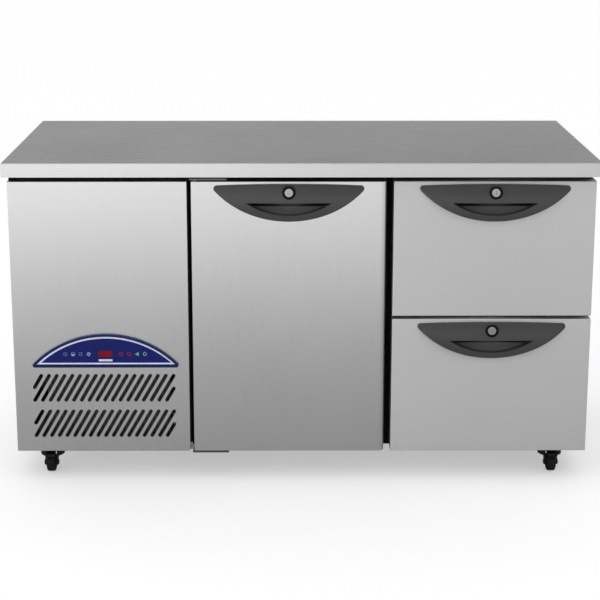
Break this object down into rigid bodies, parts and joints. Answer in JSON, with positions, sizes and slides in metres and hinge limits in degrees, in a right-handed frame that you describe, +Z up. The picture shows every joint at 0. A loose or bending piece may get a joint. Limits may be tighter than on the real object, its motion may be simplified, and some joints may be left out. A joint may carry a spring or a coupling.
{
  "type": "counter freezer",
  "caption": "Low stainless counter freezer on castors with a hinged door, stacked drawers, a louvred condensing-unit bay and a flat worktop.",
  "frame": {"origin": "on the floor, under the middle of the worktop's outline", "axes": "+Z up, +X to the right along the counter, the doors and drawers face -Y"},
  "size_m": [1.553, 0.7, 0.872],
  "materials": {
    "worktop_steel": "satin",
    "panel_steel": "satin",
    "casing_steel": "satin",
    "liner_steel": "satin",
    "foam": "matte",
    "frame_black": "satin",
    "trim_plastic": "matte",
    "inner_panel_plastic": "satin",
    "gasket_rubber": "matte",
    "handle_plastic": "satin",
    "lock_metal": "polished",
    "control_blue": "gloss",
    "display_red": "gloss",
    "coated_wire": "satin",
    "fin_aluminium": "satin",
    "fan_plastic": "matte",
    "motor_metal": "satin",
    "compressor_black": "satin",
    "copper": "satin",
    "galvanised": "satin",
    "zinc_plate": "satin",
    "castor_black": "satin",
    "wheel_rubber": "matte",
    "box_plastic": "matte"
  },
  "bodies": {
    "cabinet": {"worktop": "worktop_steel", "side_panels": "panel_steel", "casing_wrap": "casing_steel", "base_pan": "galvanised", "insulation": "foam", "liner": "liner_steel", "front_frame": "frame_black", "mullion": "trim_plastic", "shelf_racking": "liner_steel", "shelf": "coated_wire", "evaporator_housing": "liner_steel", "evaporator_coil": "fin_aluminium", "fan_motors": "motor_metal", "hinge_brackets": "zinc_plate", "slide_outer_members": "zinc_plate", "bay_frame": "galvanised", "unit_front_panel": "panel_steel", "control_bezel": "control_blue", "controller_module": "display_red", "condensing_tray": "galvanised", "compressor": "compressor_black", "condenser_coil": "fin_aluminium", "condenser_shroud": "galvanised", "refrigerant_pipes": "copper", "electrical_box": "box_plastic", "rear_grille": "galvanised", "mains_inlet": "trim_plastic", "drawer_partition": "liner_steel", "castor_plates": "zinc_plate"},
    "door": {"door_skin": "panel_steel", "door_inner_panel": "inner_panel_plastic", "door_gasket": "gasket_rubber", "door_handle": "handle_plastic"},
    "door_lock_barrel": {"door_lock": "lock_metal"},
    "drawer_upper": {"drawer_skin_upper": "panel_steel", "drawer_inner_panel_upper": "inner_panel_plastic", "drawer_gasket_upper": "gasket_rubber", "drawer_handle_upper": "handle_plastic", "drawer_box_upper": "liner_steel"},
    "drawer_upper_lock_barrel": {"drawer_lock_upper": "lock_metal"},
    "slide_upper": {"slide_middle_upper": "zinc_plate"},
    "drawer_lower": {"drawer_skin_lower": "panel_steel", "drawer_inner_panel_lower": "inner_panel_plastic", "drawer_gasket_lower": "gasket_rubber", "drawer_handle_lower": "handle_plastic", "drawer_box_lower": "liner_steel"},
    "drawer_lower_lock_barrel": {"drawer_lock_lower": "lock_metal"},
    "slide_lower": {"slide_middle_lower": "zinc_plate"},
    "evaporator_rotor": {"evaporator_fan": "fan_plastic"},
    "condenser_rotor": {"condenser_fan": "fan_plastic"},
    "castor_front_left": {"castor_fork_front_left": "castor_black"},
    "wheel_front_left": {"castor_wheel_front_left": "wheel_rubber"},
    "brake_front_left": {"brake_pedal_front_left": "castor_black"},
    "castor_front_right": {"castor_fork_front_right": "castor_black"},
    "wheel_front_right": {"castor_wheel_front_right": "wheel_rubber"},
    "brake_front_right": {"brake_pedal_front_right": "castor_black"},
    "castor_rear_left": {"castor_fork_rear_left": "castor_black"},
    "wheel_rear_left": {"castor_wheel_rear_left": "wheel_rubber"},
    "castor_rear_right": {"castor_fork_rear_right": "castor_black"},
    "wheel_rear_right": {"castor_wheel_rear_right": "wheel_rubber"}
  },
  "joints": [
    {"name": "door_hinge", "type": "hinge", "parent": "cabinet", "child": "door", "pos_m": [-0.279, -0.316, 0.08], "axis": [0, 0, -1], "range_deg": [0, 100]},
    {"name": "door_lock_turn", "type": "hinge", "parent": "door", "child": "door_lock_barrel", "pos_m": [-0.034, -0.33, 0.794], "axis": [0, 1, 0], "range_deg": [0, 90]},
    {"name": "drawer_upper_slide", "type": "slide", "parent": "cabinet", "child": "drawer_upper", "axis": [0, -1, 0], "range_m": [0, 0.48]},
    {"name": "slide_upper_travel", "type": "slide", "parent": "cabinet", "child": "slide_upper", "axis": [0, -1, 0], "range_m": [0, 0.24]},
    {"name": "drawer_upper_lock_turn", "type": "hinge", "parent": "drawer_upper", "child": "drawer_upper_lock_barrel", "pos_m": [0.502, -0.33, 0.794], "axis": [0, 1, 0], "range_deg": [0, 90]},
    {"name": "drawer_lower_slide", "type": "slide", "parent": "cabinet", "child": "drawer_lower", "axis": [0, -1, 0], "range_m": [0, 0.48]},
    {"name": "slide_lower_travel", "type": "slide", "parent": "cabinet", "child": "slide_lower", "axis": [0, -1, 0], "range_m": [0, 0.24]},
    {"name": "drawer_lower_lock_turn", "type": "hinge", "parent": "drawer_lower", "child": "drawer_lower_lock_barrel", "pos_m": [0.502, -0.33, 0.422], "axis": [0, 1, 0], "range_deg": [0, 90]},
    {"name": "evaporator_fan_spin", "type": "hinge", "parent": "cabinet", "child": "evaporator_rotor", "pos_m": [-0.1436, 0.0496, 0.6421], "axis": [1, 0, 0], "continuous": true},
    {"name": "condenser_fan_spin", "type": "hinge", "parent": "cabinet", "child": "condenser_rotor", "pos_m": [-0.5195, -0.1993, 0.1802], "axis": [0, 1, 0], "continuous": true},
    {"name": "swivel_front_left", "type": "hinge", "parent": "cabinet", "child": "castor_front_left", "pos_m": [-0.684, -0.245, 0.0692], "axis": [0, 0, 1], "continuous": true},
    {"name": "wheel_front_left_roll", "type": "hinge", "parent": "castor_front_left", "child": "wheel_front_left", "pos_m": [-0.684, -0.269, 0.025], "axis": [1, 0, 0], "continuous": true},
    {"name": "brake_front_left_press", "type": "hinge", "parent": "castor_front_left", "child": "brake_front_left", "pos_m": [-0.684, -0.259, 0.0577], "axis": [1, 0, 0], "range_deg": [0, 10]},
    {"name": "swivel_front_right", "type": "hinge", "parent": "cabinet", "child": "castor_front_right", "pos_m": [0.684, -0.245, 0.0692], "axis": [0, 0, 1], "continuous": true},
    {"name": "wheel_front_right_roll", "type": "hinge", "parent": "castor_front_right", "child": "wheel_front_right", "pos_m": [0.684, -0.269, 0.025], "axis": [1, 0, 0], "continuous": true},
    {"name": "brake_front_right_press", "type": "hinge", "parent": "castor_front_right", "child": "brake_front_right", "pos_m": [0.684, -0.259, 0.0577], "axis": [1, 0, 0], "range_deg": [0, 10]},
    {"name": "swivel_rear_left", "type": "hinge", "parent": "cabinet", "child": "castor_rear_left", "pos_m": [-0.684, 0.294, 0.0692], "axis": [0, 0, 1], "continuous": true},
    {"name": "wheel_rear_left_roll", "type": "hinge", "parent": "castor_rear_left", "child": "wheel_rear_left", "pos_m": [-0.684, 0.27, 0.025], "axis": [1, 0, 0], "continuous": true},
    {"name": "swivel_rear_right", "type": "hinge", "parent": "cabinet", "child": "castor_rear_right", "pos_m": [0.684, 0.294, 0.0692], "axis": [0, 0, 1], "continuous": true},
    {"name": "wheel_rear_right_roll", "type": "hinge", "parent": "castor_rear_right", "child": "wheel_rear_right", "pos_m": [0.684, 0.27, 0.025], "axis": [1, 0, 0], "continuous": true}
  ],
  "couplings": [
    {"joint": "slide_upper_travel", "follows": "drawer_upper_slide", "ratio": 0.5},
    {"joint": "slide_lower_travel", "follows": "drawer_lower_slide", "ratio": 0.5}
  ]
}
